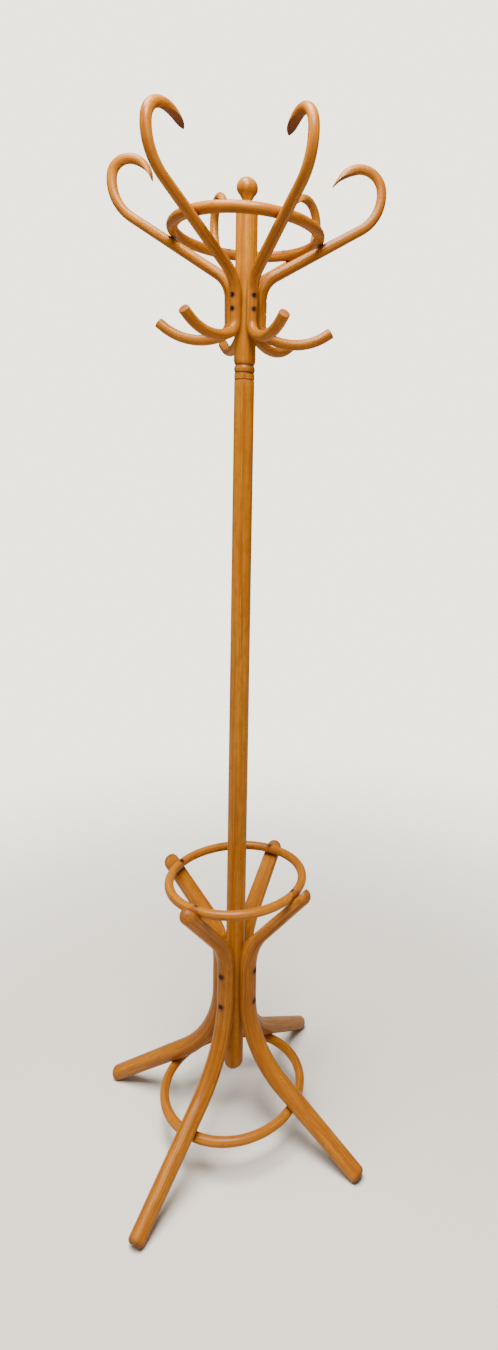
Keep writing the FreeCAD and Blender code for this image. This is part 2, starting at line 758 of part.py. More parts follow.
def post_flats(name, seat, low, high, directions):
    """The flats planed on a post, where the hooks or legs sit."""
    box = bound("Part::Box", name + "_tool", Height=f"{high} - {low}")
    box.Length = CUTTER / 4
    box.Width = CUTTER / 2
    place = Placement(Vector(size(seat), -CUTTER / 4, size(low)), Rotation())
    return repeated(name, box, [place], directions)


upper_post = cut_all(
    "upper_post",
    upper_post_blank(),
    [
        post_flats("hook_flats", "hook_seat", "hook_seat_low", "hook_seat_high", HOOK_DIRECTIONS),
        repeated("upper_post_holes", HOLES["hook_screw"], HOOK_SCREWS, HOOK_DIRECTIONS),
    ],
)
lower_post = cut_all(
    "lower_post",
    lower_post_blank(),
    [
        post_flats("leg_flats", "leg_seat", "leg_seat_low", "leg_seat_high", LEG_DIRECTIONS),
        repeated("lower_post_holes", HOLES["leg_screw"], LEG_SCREWS, LEG_DIRECTIONS),
    ],
)
washer_top = "seam + washer_thickness"
bush_inside = "spindle_radius + running_clearance"

NODES = [
    lower_post,
    upper_post,
    ball_finial(),
    spindle(),
    tube("spindle_bush", bush_inside, "bush_radius", washer_top, washer_top + " + bush_length"),
    tube("thrust_washer", "washer_bore", "washer_radius", "seam", washer_top),
    *(hook(number) for number in range(1, len(HOOKS) + 1)),
    *(leg(number) for number in range(1, len(LEGS) + 1)),
    ring("hat_ring", "hat_ring_radius", "hat_tube_radius", hat_height, HAT_SCREWS, HOOK_DIRECTIONS),
    ring(
        "umbrella_ring",
        "umbrella_ring_radius",
        "umbrella_tube_radius",
        umbrella_height,
        UMBRELLA_SCREWS,
        LEG_DIRECTIONS,
    ),
    ring("base_ring", "base_ring_radius", "base_tube_radius", base_height, BASE_SCREWS, LEG_DIRECTIONS),
    screw_set("hook_screws", "hook_screw", HOOK_SCREWS, HOOK_DIRECTIONS),
    screw_set("leg_screws", "leg_screw", LEG_SCREWS, LEG_DIRECTIONS),
    screw_set("hat_ring_screws", "ring_screw", HAT_SCREWS, HOOK_DIRECTIONS),
    screw_set("umbrella_ring_screws", "ring_screw", UMBRELLA_SCREWS, LEG_DIRECTIONS),
    screw_set("base_ring_screws", "ring_screw", BASE_SCREWS, LEG_DIRECTIONS),
]
doc.recompute()

# ---------------------------------------------------------------- checks and export
problems = []
for thing in doc.Objects:
    if "Invalid" in thing.State or "Error" in thing.State:
        problems.append(f"{thing.Name}: {thing.State}")
for result in CUTS:
    if result.Base.Shape.Volume - result.Shape.Volume < 0.5:
        problems.append(f"{result.Name}: the cut removed nothing")
for node in NODES:
    shape = node.Shape
    if shape.isNull() or not shape.isValid() or not shape.Solids:
        problems.append(f"{node.Label}: bad shape")
    elif min(solid.Volume for solid in shape.Solids) < 1:
        problems.append(f"{node.Label}: a solid without volume")
    elif shape.optimalBoundingBox().ZMin < -0.001:
        problems.append(f"{node.Label}: below the floor")
if problems:
    raise RuntimeError("; ".join(problems))

os.makedirs("parts", exist_ok=True)
for node in NODES:
    node.Shape.exportStep(os.path.join("parts", node.Label + ".step"))
    box = node.Shape.optimalBoundingBox()
    print(
        f"{node.Label}: {len(node.Shape.Solids)} solid(s), {node.Shape.Volume / 1000:.1f} cm3,"
        f" z {box.ZMin:.1f} to {box.ZMax:.1f}"
    )
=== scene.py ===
import math

import bmesh
import bpy
import numpy as np
from mathutils import Matrix, Vector

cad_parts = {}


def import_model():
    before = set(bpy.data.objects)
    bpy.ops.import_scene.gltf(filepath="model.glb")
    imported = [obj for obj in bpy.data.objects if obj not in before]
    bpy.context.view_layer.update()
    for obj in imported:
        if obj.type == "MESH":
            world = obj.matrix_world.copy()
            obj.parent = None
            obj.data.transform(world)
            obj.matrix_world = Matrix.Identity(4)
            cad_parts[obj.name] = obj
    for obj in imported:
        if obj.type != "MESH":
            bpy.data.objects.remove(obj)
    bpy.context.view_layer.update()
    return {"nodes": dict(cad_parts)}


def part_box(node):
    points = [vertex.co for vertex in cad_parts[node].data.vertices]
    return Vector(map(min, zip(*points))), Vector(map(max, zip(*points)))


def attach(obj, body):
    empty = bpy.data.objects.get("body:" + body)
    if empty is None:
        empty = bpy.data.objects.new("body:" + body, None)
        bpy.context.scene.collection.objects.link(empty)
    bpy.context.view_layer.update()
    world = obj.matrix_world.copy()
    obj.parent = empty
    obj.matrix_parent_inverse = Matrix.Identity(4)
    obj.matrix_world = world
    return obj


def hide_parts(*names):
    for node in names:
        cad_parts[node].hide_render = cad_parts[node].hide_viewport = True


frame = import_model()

# The looks of a bentwood hat and coat stand, in metres, in the frame of the CAD model: +Z up, the post on the
# Z axis. Every bent rod is swept along its own centreline, and keeps how far along the rod and how far off its
# centre each point lies, so that the grain of the wood follows the bends.

# ---------------------------------------------------------------- sizes that the centrelines need
# Each hook has its direction about the post, in degrees from +X. Then what its curl has more than the pattern:
# degrees of turn, bend radius and straight tip. Last, by how many degrees its arm and the arm's sweep are bent
# further.
HOOKS = (
    (0, -5, 0, 0.0195, 2.5, 0),
    (54, 0, 0, 0, 0, 0),
    (106, 0, 0, 0, 0, 0),
    (170, 22, -0.006, 0.003, 4.5, 1),
    (231.5, -5, 0, 0, 0, 3),
    (293.6, -3, 0.0015, 0, 0, 2),
)
# Each leg has its direction, and how much longer its top is.
LEGS = ((57, -0.010), (151, -0.003), (236, 0), (325, 0))

HOOK_CENTRE = 0.0286  # a hook's centreline, from the post's axis
HOOK_SEAT = 0.0194  # the flat between a hook and the post, from the axis
HOOK_RUN_FOOT = 1.597  # height where the straight run on the post starts
HOOK_RUN = 0.045
ELBOW = (0.051, -59)  # bend radius and turn in degrees, left turns positive
HOOK_REACH = 0.183  # the slope from the elbow to the crown
CROWN = (0.078, 64)
CURL = (0.039, 150)
CURL_TIP = 0.005
ARM = (0.027, 64)
ARM_SWEEP = (0.108, 58)
ARM_END = 0.0126
ARM_EDGE = 0.0016
ARM_RADIUS = 0.0098
HOOK_RADIUS = 0.0107
CURL_RADIUS = 0.0092
SCARF_TURN = math.pi / 2  # the scarf starts so far before the end of the inner bend
SCARF_SHARE = 0.8  # radius of the scarf's hollow over its length
SCARF_TIP = 0.002
TIP_POINT = 0.013  # length over which the tip of a curl is rounded to a point

LEG_CENTRE = 0.031
LEG_SEAT = 0.018
LEG_RUN_FOOT = 0.2845
LEG_RUN = 0.0597
LEG_RADIUS = 0.017
LEG_TOP_RADIUS = 0.0155
LEG_FOOT_RADIUS = 0.015
LEG_TOP_BEND = (0.125, -42.5)
LEG_TOP_RUN = 0.1306
LEG_PLANE = 0.0067  # the flat on the inside of the top, from the centreline
LEG_LOW_BEND = (0.194, 56.4)
LEG_LOW_RUN = 0.2058
LEG_FOOT_EDGE = 0.007
LEG_FLATS_BELOW = 0.12  # the flats end within this length below the run on the post
LEG_SOLE = 0.02  # length of the foot that the floor can cut
UMBRELLA_SCREW_TILT = 24  # degrees steeper than square to the leg

SCREW_HEAD = {"hook": 0.0039, "ring": 0.0039, "leg": 0.0046}
SCREW_SHANK = {"hook": 0.0020, "ring": 0.0020, "leg": 0.0024}
SCREW_PLAY = 0.0001
SCREW_RECESS = 0.0015
SCREW_HOLE_DEPTH = 0.0095
HOOK_SCREW_HEIGHTS = (1.616, 1.640)
LEG_SCREW_HEIGHTS = (0.278, 0.341)

TRACE_STEP = 0.0005  # spacing of the points that a centreline is followed by


# ---------------------------------------------------------------- centrelines
class Trace:
    """A centreline in the plane of a hook or a leg: x is the distance from the post's axis, z the height.
    left is the normal on the left of the way it runs."""

    def __init__(self, distance, x, z, heading):
        self.distance, self.x, self.z, self.heading = distance, x, z, heading
        self.length = distance[-1]

    def at(self, distance):
        """Position and heading. Past either end the line runs straight on."""
        distance = np.asarray(distance, float)
        heading = np.interp(distance, self.distance, self.heading)
        outside = distance - np.clip(distance, 0, self.length)
        x = np.interp(distance, self.distance, self.x) + outside * np.cos(heading)
        z = np.interp(distance, self.distance, self.z) + outside * np.sin(heading)
        return x, z, heading


def bend(shape, more=0):
    """The length and the turn of a bend, from its radius and its turn in degrees, bent further by some degrees."""
    radius, degrees = shape
    turn = math.radians(degrees + more)
    return radius * abs(turn), turn


def follow(x, z, heading, steps):
    """Points along straight runs and bends, from a start and a heading in degrees.
    A step is a length and a turn."""
    points = [(0.0, x, z, math.radians(heading))]
    for length, turn in steps:
        count = max(2, round(length / TRACE_STEP))
        for _ in range(count):
            distance, x, z, angle = points[-1]
            step = length / count
            middle = angle + turn / count / 2
            chord = step if turn == 0 else 2 * (length / abs(turn)) * math.sin(abs(turn) / count / 2)
            points.append(
                (distance + step, x + chord * math.cos(middle), z + chord * math.sin(middle), angle + turn / count)
            )
    return np.array(points).T


def join(lower, upper):
    """One centreline from the far end of the lower half, back to where both halves start, and up the upper half."""
    length = lower[0][-1]
    distance = np.concatenate([length - lower[0][::-1], length + upper[0][1:]])
    x = np.concatenate([lower[1][::-1], upper[1][1:]])
    z = np.concatenate([lower[2][::-1], upper[2][1:]])
    heading = np.concatenate([lower[3][::-1] + math.pi, upper[3][1:]])
    return Trace(distance, x, z, heading)


def hook_trace(curl_more, curl_wider, tip_more, arm_more, sweep_more):
    """A hook's centreline, from the end of its arm, and where on it the run on the post and the scarf start."""
    curl = bend((CURL[0] + curl_wider, CURL[1]), curl_more)
    steps = [(HOOK_RUN, 0), bend(ELBOW), (HOOK_REACH, 0), bend(CROWN), curl, (CURL_TIP + tip_more, 0)]
    upper = follow(HOOK_CENTRE, HOOK_RUN_FOOT, 90, steps)
    arm = [bend(ARM, arm_more), bend(ARM_SWEEP, sweep_more), (ARM_END, 0)]
    lower = follow(HOOK_CENTRE, HOOK_RUN_FOOT, -90, arm)
    trace = join(lower, upper)
    scarf_start = trace.length - CURL_TIP - tip_more - SCARF_TURN * (CURL[0] + curl_wider)
    return trace, lower[0][-1], scarf_start


def leg_trace(top_more):
    """A leg's centreline, from its foot, and where on it the run on the post starts."""
    top = [(LEG_RUN, 0), bend(LEG_TOP_BEND), (LEG_TOP_RUN + top_more, 0)]
    upper = follow(LEG_CENTRE, LEG_RUN_FOOT, 90, top)
    lower = follow(LEG_CENTRE, LEG_RUN_FOOT, -90, [bend(LEG_LOW_BEND), (LEG_LOW_RUN, 0)])
    return join(lower, upper), lower[0][-1]


# ---------------------------------------------------------------- cuts on the left side of a rod
UNCUT = 1.0
LEAST_FACING = 0.2  # a plane cuts only where it faces the rod's left side at least so much


def plane_cut(x, z, degrees):
    """The depth at which a plane through a point, facing a direction, cuts the rod.
    Depths count from the centreline to the left, and a depth of 1 leaves the rod whole."""
    face = (math.cos(math.radians(degrees)), math.sin(math.radians(degrees)))

    def depth(cx, cz, heading):
        towards = -np.sin(heading) * face[0] + np.cos(heading) * face[1]
        away = (cx - x) * face[0] + (cz - z) * face[1]
        return np.where(towards > LEAST_FACING, -away / np.maximum(towards, LEAST_FACING), UNCUT)

    return depth


def hollow_cut(x, z, radius):
    """The same for a round hollow about a point."""

    def depth(cx, cz, heading):
        ex, ez = cx - x, cz - z
        along = -np.sin(heading) * ex + np.cos(heading) * ez
        inside = along**2 - (ex**2 + ez**2 - radius**2)
        return np.where(inside > 0, -along - np.sqrt(np.maximum(inside, 0)), UNCUT)

    return depth


# ---------------------------------------------------------------- swept rods
FLAT_COLUMNS = 9
ARC_COLUMNS = 35
CORNER_EASE = 0.0005  # how far the edge of a flat is rounded back
LEAST_FLAT = math.radians(14)  # half the angle that the columns of a flat keep where the rod is round


def section(radius, depth):
    """One cross-section: points (left, across) round a circle that is cut flat on its left at a depth."""
    cut = min(depth, radius * 0.9999)
    corner = max(math.acos(max(cut / radius, -0.9999)), LEAST_FLAT)
    half = radius * math.sin(corner)
    ease = min(CORNER_EASE, half * 0.4, radius * 0.2)
    across = (half - ease) * np.linspace(-1, 1, FLAT_COLUMNS)
    left = np.sqrt(radius**2 - across**2)
    if depth < radius:
        left = np.minimum(cut, left)
    start = corner + ease / radius
    angles = np.linspace(start, 2 * math.pi - start, ARC_COLUMNS)
    arc = np.column_stack([radius * np.cos(angles), radius * np.sin(angles)])
    flat = np.column_stack([left, across])
    first = (flat[-1] + arc[0]) / 2
    last = (arc[-1] + flat[0]) / 2
    return np.vstack([flat, first, arc, last])


def sweep(name, trace, stations, radii, depths, widths):
    """A closed rod: a cross-section at every station along a centreline, with a fan at each end."""
    x, z, heading = trace.at(stations)
    rows = []
    for cx, cz, angle, radius, depth, width in zip(x, z, heading, radii, depths, widths):
        outline = section(radius, depth)
        left_x, left_z = -math.sin(angle), math.cos(angle)
        rows.append([(cx + a * left_x, b * width, cz + a * left_z) for a, b in outline])
    columns = len(rows[0])
    vertices = [point for row in rows for point in row]
    faces = []
    for row in range(len(rows) - 1):
        for column in range(columns):
            after = (column + 1) % columns
            low, high = row * columns, (row + 1) * columns
            faces.append((low + column, low + after, high + after, high + column))
    for row, turn in ((0, 1), (len(rows) - 1, -1)):
        centre = len(vertices)
        vertices.append(tuple(np.mean(rows[row], axis=0)))
        ring = [row * columns + column for column in range(columns)][::turn]
        faces += [(ring[(k + 1) % columns], ring[k], centre) for k in range(columns)]
    mesh = bpy.data.meshes.new(name)
    mesh.from_pydata(vertices, [], faces)
    outward(mesh)
    return mesh


def outward(mesh):
    work = bmesh.new()
    work.from_mesh(mesh)
    bmesh.ops.recalc_face_normals(work, faces=work.faces)
    work.to_mesh(mesh)
    work.free()


def spaced(start, end, step):
    return list(np.linspace(start, end, max(2, round((end - start) / step) + 1)))


def blunt_end(radius, edge, count=5):
    """Offsets along the rod and factors of the radius for a square end whose edge is rounded."""
    angles = np.linspace(0, math.pi / 2, count)
    return [(edge * math.sin(a) - edge, (radius - edge + edge * math.cos(a)) / radius) for a in angles]


def rod_rows(length, marks, mark_radii, starts, ends, step):
    """Stations and radii from end to end. starts and ends are the (offset, factor) rows of the two ends."""
    first = [(-offset, mark_radii[0] * factor) for offset, factor in starts[::-1]]
    last = [(length + offset, mark_radii[-1] * factor) for offset, factor in ends]
    middle = [(s, np.interp(s, marks, mark_radii)) for s in spaced(first[-1][0] + step, last[0][0] - step, step)]
    stations, radii = np.array(first + middle + last).T
    return stations, radii


# ---------------------------------------------------------------- screw holes
HOLE_COLUMNS = 40
HOLE_MOUTH = 1.03  # how much wider than the screw's head the hole is above it
HOLE_TOP = 0.010


def hole_tool(place, head, shank):
    """A cutter for a countersunk hole: place maps its own frame, where the screw points down from the origin."""
    head, shank = head + SCREW_PLAY, shank + SCREW_PLAY
    mouth = head * HOLE_MOUTH
    outline = [(0, HOLE_TOP), (mouth, HOLE_TOP), (mouth, 0.0006), (head, 0)]
    outline += [(shank, shank - head), (shank, -SCREW_HOLE_DEPTH), (0, -SCREW_HOLE_DEPTH)]
    work = bmesh.new()
    rings = []
    for radius, height in outline:
        if radius == 0:
            rings.append([work.verts.new((0, 0, height))])
            continue
        angles = [2 * math.pi * k / HOLE_COLUMNS for k in range(HOLE_COLUMNS)]
        rings.append([work.verts.new((radius * math.cos(a), radius * math.sin(a), height)) for a in angles])
    for low, high in zip(rings, rings[1:]):
        for k in range(HOLE_COLUMNS):
            after = (k + 1) % HOLE_COLUMNS
            corners = [low[k % len(low)], low[after % len(low)], high[after % len(high)], high[k % len(high)]]
            work.faces.new(list(dict.fromkeys(corners)))
    bmesh.ops.recalc_face_normals(work, faces=work.faces)
    work.transform(place)
    return work


def driven(x, z, degrees):
    """Where a screw sits whose head is at a point of the XZ plane and that is driven along a direction."""
    way = Vector((math.cos(math.radians(degrees)), 0, math.sin(math.radians(degrees))))
    turn = Vector((0, 0, -1)).rotation_difference(way).to_matrix().to_4x4()
    return Matrix.Translation((x, 0, z)) @ turn


def about_post(degrees):
    return Matrix.Rotation(math.radians(degrees), 4, "Z")


def drilled(mesh, holes):
    """The mesh with a hole for each of (place, head, shank)."""
    tool_mesh = bpy.data.meshes.new("hole_tools")
    work = bmesh.new()
    for place, head, shank in holes:
        one = hole_tool(place, head, shank)
        part = bpy.data.meshes.new("hole_tool")
        one.to_mesh(part)
        one.free()
        work.from_mesh(part)
        bpy.data.meshes.remove(part)
    work.to_mesh(tool_mesh)
    work.free()
    tool = bpy.data.objects.new("hole_tools", tool_mesh)
    piece = bpy.data.objects.new("drilled", mesh)
    for thing in (tool, piece):
        bpy.context.scene.collection.objects.link(thing)
    cut = piece.modifiers.new("holes", "BOOLEAN")
    cut.operation = "DIFFERENCE"
    cut.solver = "EXACT"
    cut.object = tool
    bpy.context.view_layer.update()
    result = bpy.data.meshes.new_from_object(piece.evaluated_get(bpy.context.evaluated_depsgraph_get()))
    for thing in (tool, piece):
        bpy.data.objects.remove(thing)
    return result


# ---------------------------------------------------------------- grain
GRAIN_SHIFT = Vector((0.013, 0.021, 0.83))  # between one piece's wood and the next
POINTS_AT_ONCE = 4000


def coordinates(mesh):
    points = np.empty(len(mesh.vertices) * 3)
    mesh.vertices.foreach_get("co", points)
    return points.reshape(-1, 3)


def set_attribute(mesh, name, kind, values):
    layer = mesh.attributes.get(name) or mesh.attributes.new(name, kind, "POINT")
    field = "vector" if kind == "FLOAT_VECTOR" else "value"
    layer.data.foreach_set(field, np.ascontiguousarray(values, np.float32).ravel())


def set_looks(mesh, grain, dark, seed):
    """What the wood's material reads: the place in the unbent wood, different in every piece, and the browning and
    painted shade.
    """
    set_attribute(mesh, "grain", "FLOAT_VECTOR", grain + np.array(GRAIN_SHIFT) * seed)
    set_attribute(mesh, "dark", "FLOAT", np.clip(dark, 0, 1))


def fade(distance, near, far):
    """1 up to a near distance, falling smoothly to 0 at a far one."""
    share = np.clip((distance - near) / (far - near), 0, 1)
    return 1 - share * share * (3 - 2 * share)


def hole_shade_and_browning(points, holes):
    """Painted shade inside screw holes, and browning round their rims, where the lacquer is thick and dirt stays.
    """
    dark = np.zeros(len(points))
    for place, head, _ in holes:
        centre = np.array(place.translation)
        dark = np.maximum(dark, 0.85 * fade(np.linalg.norm(points - centre, axis=1), head * 1.1, head * 2.2))
    return dark


def ring_contact_shade(points, ring, reach=0.006):
    """Painted shade where a rod touches a ring, given as its radius, its tube's radius and its height."""
    radius, tube, height = ring
    gap = np.hypot(np.hypot(points[:, 0], points[:, 1]) - radius, points[:, 2] - height) - tube
    return 0.7 * fade(gap, 0.001, reach)


def straightened(mesh, trace):
    """Where each point lay before the rod was bent: left of the centreline, across it, and along it."""
    points = coordinates(mesh)
    line = np.column_stack([trace.x, trace.z])
    grain = np.empty_like(points)
    for start in range(0, len(points), POINTS_AT_ONCE):
        part = points[start : start + POINTS_AT_ONCE]
        gap = part[:, None, (0, 2)] - line[None]
        nearest = np.argmin((gap**2).sum(axis=2), axis=1)
        offset = part[:, (0, 2)] - line[nearest]
        heading = trace.heading[nearest]
        along = offset[:, 0] * np.cos(heading) + offset[:, 1] * np.sin(heading)
        left = -offset[:, 0] * np.sin(heading) + offset[:, 1] * np.cos(heading)
        distance = trace.distance[nearest] + along
        grain[start : start + POINTS_AT_ONCE] = np.column_stack([left, part[:, 1], distance])
    return grain


def finished(mesh, degrees=32):
    mesh.shade_smooth()
    mesh.set_sharp_from_angle(angle=math.radians(degrees))
    return mesh


def piece_of(name, mesh, body, material, node):
    """A piece that stands for one CAD node."""
    mesh.name = name
    mesh.materials.clear()
    mesh.materials.append(material)
    piece = bpy.data.objects.new(name, mesh)
    bpy.context.scene.collection.objects.link(piece)
    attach(piece, body)
    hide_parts(node)


# ---------------------------------------------------------------- materials
class Nodes:
    """Short calls for building a node tree."""

    def __init__(self, name):
        self.material = bpy.data.materials.new(name)
        self.material.use_nodes = True
        self.tree = self.material.node_tree
        self.tree.nodes.clear()
        self.shader = self.add("ShaderNodeBsdfPrincipled")
        self.output = self.add("ShaderNodeOutputMaterial")
        self.tree.links.new(self.shader.outputs["BSDF"], self.output.inputs["Surface"])

    def add(self, kind, **settings):
        node = self.tree.nodes.new(kind)
        for key, value in settings.items():
            setattr(node, key, value)
        return node

    def put(self, socket, value):
        """Links an output to an input, or sets the input to a number, vector or colour."""
        if isinstance(value, bpy.types.NodeSocket):
            self.tree.links.new(value, socket)
        elif hasattr(value, "__len__") and len(value) == 3 and len(socket.default_value) == 4:
            socket.default_value = (*value, 1)
        else:
            socket.default_value = value

    def math(self, operation, a, b=0.0, clamp=False):
        node = self.add("ShaderNodeMath", operation=operation, use_clamp=clamp)
        self.put(node.inputs[0], a)
        self.put(node.inputs[1], b)
        return node.outputs[0]

    def scaled(self, vector, scale, shift=(0, 0, 0)):
        node = self.add("ShaderNodeMapping")
        self.put(node.inputs["Vector"], vector)
        node.inputs["Scale"].default_value = scale
        node.inputs["Location"].default_value = shift
        return node.outputs["Vector"]

    def noise(self, vector, scale=1.0, detail=2.0, roughness=0.5, distortion=0.0):
        node = self.add("ShaderNodeTexNoise", noise_dimensions="3D")
        self.put(node.inputs["Vector"], vector)
        node.inputs["Scale"].default_value = scale
        node.inputs["Detail"].default_value = detail
        node.inputs["Roughness"].default_value = roughness
        node.inputs["Distortion"].default_value = distortion
        return node.outputs["Fac"]

    def ramp(self, value, low, high, to_low=0.0, to_high=1.0):
        node = self.add("ShaderNodeMapRange", interpolation_type="SMOOTHSTEP")
        self.put(node.inputs["Value"], value)
        for key, number in (("From Min", low), ("From Max", high), ("To Min", to_low), ("To Max", to_high)):
            node.inputs[key].default_value = number
        return node.outputs["Result"]

    def mix(self, factor, a, b, blend_type="MIX"):
        node = self.add("ShaderNodeMix", data_type="RGBA", blend_type=blend_type)
        self.put(node.inputs["Factor"], factor)
        self.put(node.inputs[6], a)
        self.put(node.inputs[7], b)
        return node.outputs[2]

    def bump(self, height, strength, distance, normal=None):
        node = self.add("ShaderNodeBump")
        self.put(node.inputs["Height"], height)
        node.inputs["Strength"].default_value = strength
        node.inputs["Distance"].default_value = distance
        if normal is not None:
            self.put(node.inputs["Normal"], normal)
        return node.outputs["Normal"]


def colour(*levels):
    """A linear colour from 0 to 255 screen levels."""
    return tuple(((c / 255 + 0.055) / 1.055) ** 2.4 if c > 10 else c / 255 / 12.92 for c in levels)


def wood(name, pale, middle, deep, red):
    """Satin lacquered beech. The grain runs along the third grain coordinate: soft bands of growth rings, faint
    long streaks, and the short dark flecks of beech. The dark attribute browns scarfed tips, end grain, joints
    and the rims of screw holes, and also paints shade at contacts, in grooves and inside screw holes."""
    n = Nodes(name)
    grain = n.add("ShaderNodeAttribute", attribute_name="grain").outputs["Vector"]
    dark = n.add("ShaderNodeAttribute", attribute_name="dark").outputs["Fac"]
    bands = n.noise(n.scaled(grain, (85, 85, 2.0)), detail=3, roughness=0.5, distortion=0.3)
    streaks = n.noise(n.scaled(grain, (330, 330, 6)), detail=3, roughness=0.6)
    mottle = n.noise(n.scaled(grain, (90, 90, 38)), detail=3, roughness=0.6)
    warmth = n.noise(n.scaled(grain, (140, 140, 3.5), (3, 1, 2)), detail=2)
    fine = n.noise(n.scaled(grain, (1500, 1500, 60)), detail=2, roughness=0.6)
    flecks = n.noise(n.scaled(grain, (1000, 560, 150)), detail=1)
    base = n.mix(n.ramp(bands, 0.34, 0.60), deep, middle)
    base = n.mix(n.ramp(streaks, 0.46, 0.74, 0, 0.75), base, pale)
    base = n.mix(n.ramp(warmth, 0.50, 0.70, 0, 0.55), base, red)
    base = n.mix(n.ramp(mottle, 0.42, 0.66, 0, 0.42), base, deep)
    base = n.mix(n.ramp(fine, 0.50, 0.75, 0, 0.25), base, deep)
    base = n.mix(n.ramp(flecks, 0.64, 0.72, 0, 0.45), base, tuple(c * 0.45 for c in deep))
    # The dark attribute mixes in browned wood and painted shade.
    browning_and_shade = n.mix(n.ramp(mottle, 0.3, 0.7), BROWNING_AND_SHADE_COLOUR, tuple(c * 1.7 for c in BROWNING_AND_SHADE_COLOUR))
    n.put(n.shader.inputs["Base Color"], n.mix(dark, base, browning_and_shade))
    satin = n.ramp(streaks, 0.3, 0.7, 0.42, 0.34)
    n.put(n.shader.inputs["Roughness"], n.math("ADD", satin, n.math("MULTIPLY", dark, 0.2)))
    n.shader.inputs["Specular IOR Level"].default_value = 0.16
    n.shader.inputs["Coat Weight"].default_value = 0.12
    n.shader.inputs["Coat Roughness"].default_value = 0.2
    pores = n.bump(fine, 0.05, 0.0003)
    n.put(n.shader.inputs["Normal"], n.bump(mottle, 0.12, 0.0010, pores))
    return n.material


def steel(name, tint, roughness, wear):
    """Turned or drawn metal: fine scratches, and duller patches."""
    n = Nodes(name)
    place = n.add("ShaderNodeTexCoord").outputs["Object"]
    patches = n.noise(n.scaled(place, (260, 260, 260)), detail=3)
    scratches = n.noise(n.scaled(place, (3000, 3000, 260)), detail=1)
    dull = tuple(c * wear for c in tint)
    n.put(n.shader.inputs["Base Color"], n.mix(n.ramp(patches, 0.35, 0.7), tint, dull))
    n.put(n.shader.inputs["Roughness"], n.ramp(scratches, 0.3, 0.7, roughness, roughness + 0.18))
    n.shader.inputs["Metallic"].default_value = 1.0
    n.put(n.shader.inputs["Normal"], n.bump(scratches, 0.2, 0.0001))
    return n.material


def plastic(name, tint):
    n = Nodes(name)
    place = n.add("ShaderNodeTexCoord").outputs["Object"]
    mottle = n.noise(n.scaled(place, (500, 500, 500)), detail=2)
    n.put(n.shader.inputs["Base Color"], n.mix(mottle, tint, tuple(c * 1.6 for c in tint)))
    n.put(n.shader.inputs["Roughness"], n.ramp(mottle, 0.3, 0.7, 0.5, 0.65))
    n.put(n.shader.inputs["Normal"], n.bump(mottle, 0.15, 0.0002))
    return n.material


BROWNING_AND_SHADE_COLOUR = (0.085, 0.024, 0.011)  # linear colour of browned wood and of painted shade
POST_WOOD = wood(
    "post_wood",
    pale=(0.49, 0.215, 0.012),
    middle=(0.365, 0.136, 0.005),
    deep=(0.24, 0.072, 0.002),
    red=(0.34, 0.09, 0.005),
)
BENT_WOOD = wood(
    "bent_wood",
    pale=(0.50, 0.215, 0.018),
    middle=(0.36, 0.128, 0.007),
    deep=(0.23, 0.068, 0.004),
    red=(0.31, 0.082, 0.007),
)
SCREW_STEEL = steel("screw_steel", colour(84, 62, 46), 0.48, 0.4)
SPINDLE_STEEL = steel("spindle_steel", colour(190, 190, 192), 0.25, 0.75)
BUSH_BRASS = steel("bush_brass", colour(206, 172, 96), 0.3, 0.7)
WASHER_PLASTIC = plastic("washer_plastic", colour(40, 34, 28))


# ---------------------------------------------------------------- hooks and legs
def ring_of(node):
    """Radius, tube radius and height of a ring's CAD node."""
    low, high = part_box(node)
    tube = (high.z - low.z) / 2
    return (high.x - low.x) / 2 - tube, tube, (high.z + low.z) / 2


RINGS = {node: ring_of(node) for node in ("hat_ring", "umbrella_ring", "base_ring")}


def screws_in_post(outside, heights, kind):
    return [(driven(outside, z, 180), SCREW_HEAD[kind], SCREW_SHANK[kind]) for z in heights]


def scarf_hollow(trace, scarf_start):
    """The hollow that thins a curl towards its tip, from the inside of the bend to just short of the outside."""
    (x, last_x), (z, last_z), (heading, last) = trace.at([scarf_start, trace.length])
    start = Vector((x - CURL_RADIUS * math.sin(heading), z + CURL_RADIUS * math.cos(heading)))
    outside = CURL_RADIUS - SCARF_TIP
    end = Vector((last_x + outside * math.sin(last), last_z - outside * math.cos(last)))
    chord = end - start
    radius = chord.length * SCARF_SHARE
    inward = Vector((-chord.y, chord.x)).normalized()
    centre = (start + end) / 2 + inward * math.sqrt(radius**2 - (chord.length / 2) ** 2)
    return hollow_cut(centre.x, centre.y, radius)


HOOK_ROW_STEP = 0.0022  # between the cross-sections of a swept rod
LEG_ROW_STEP = 0.003


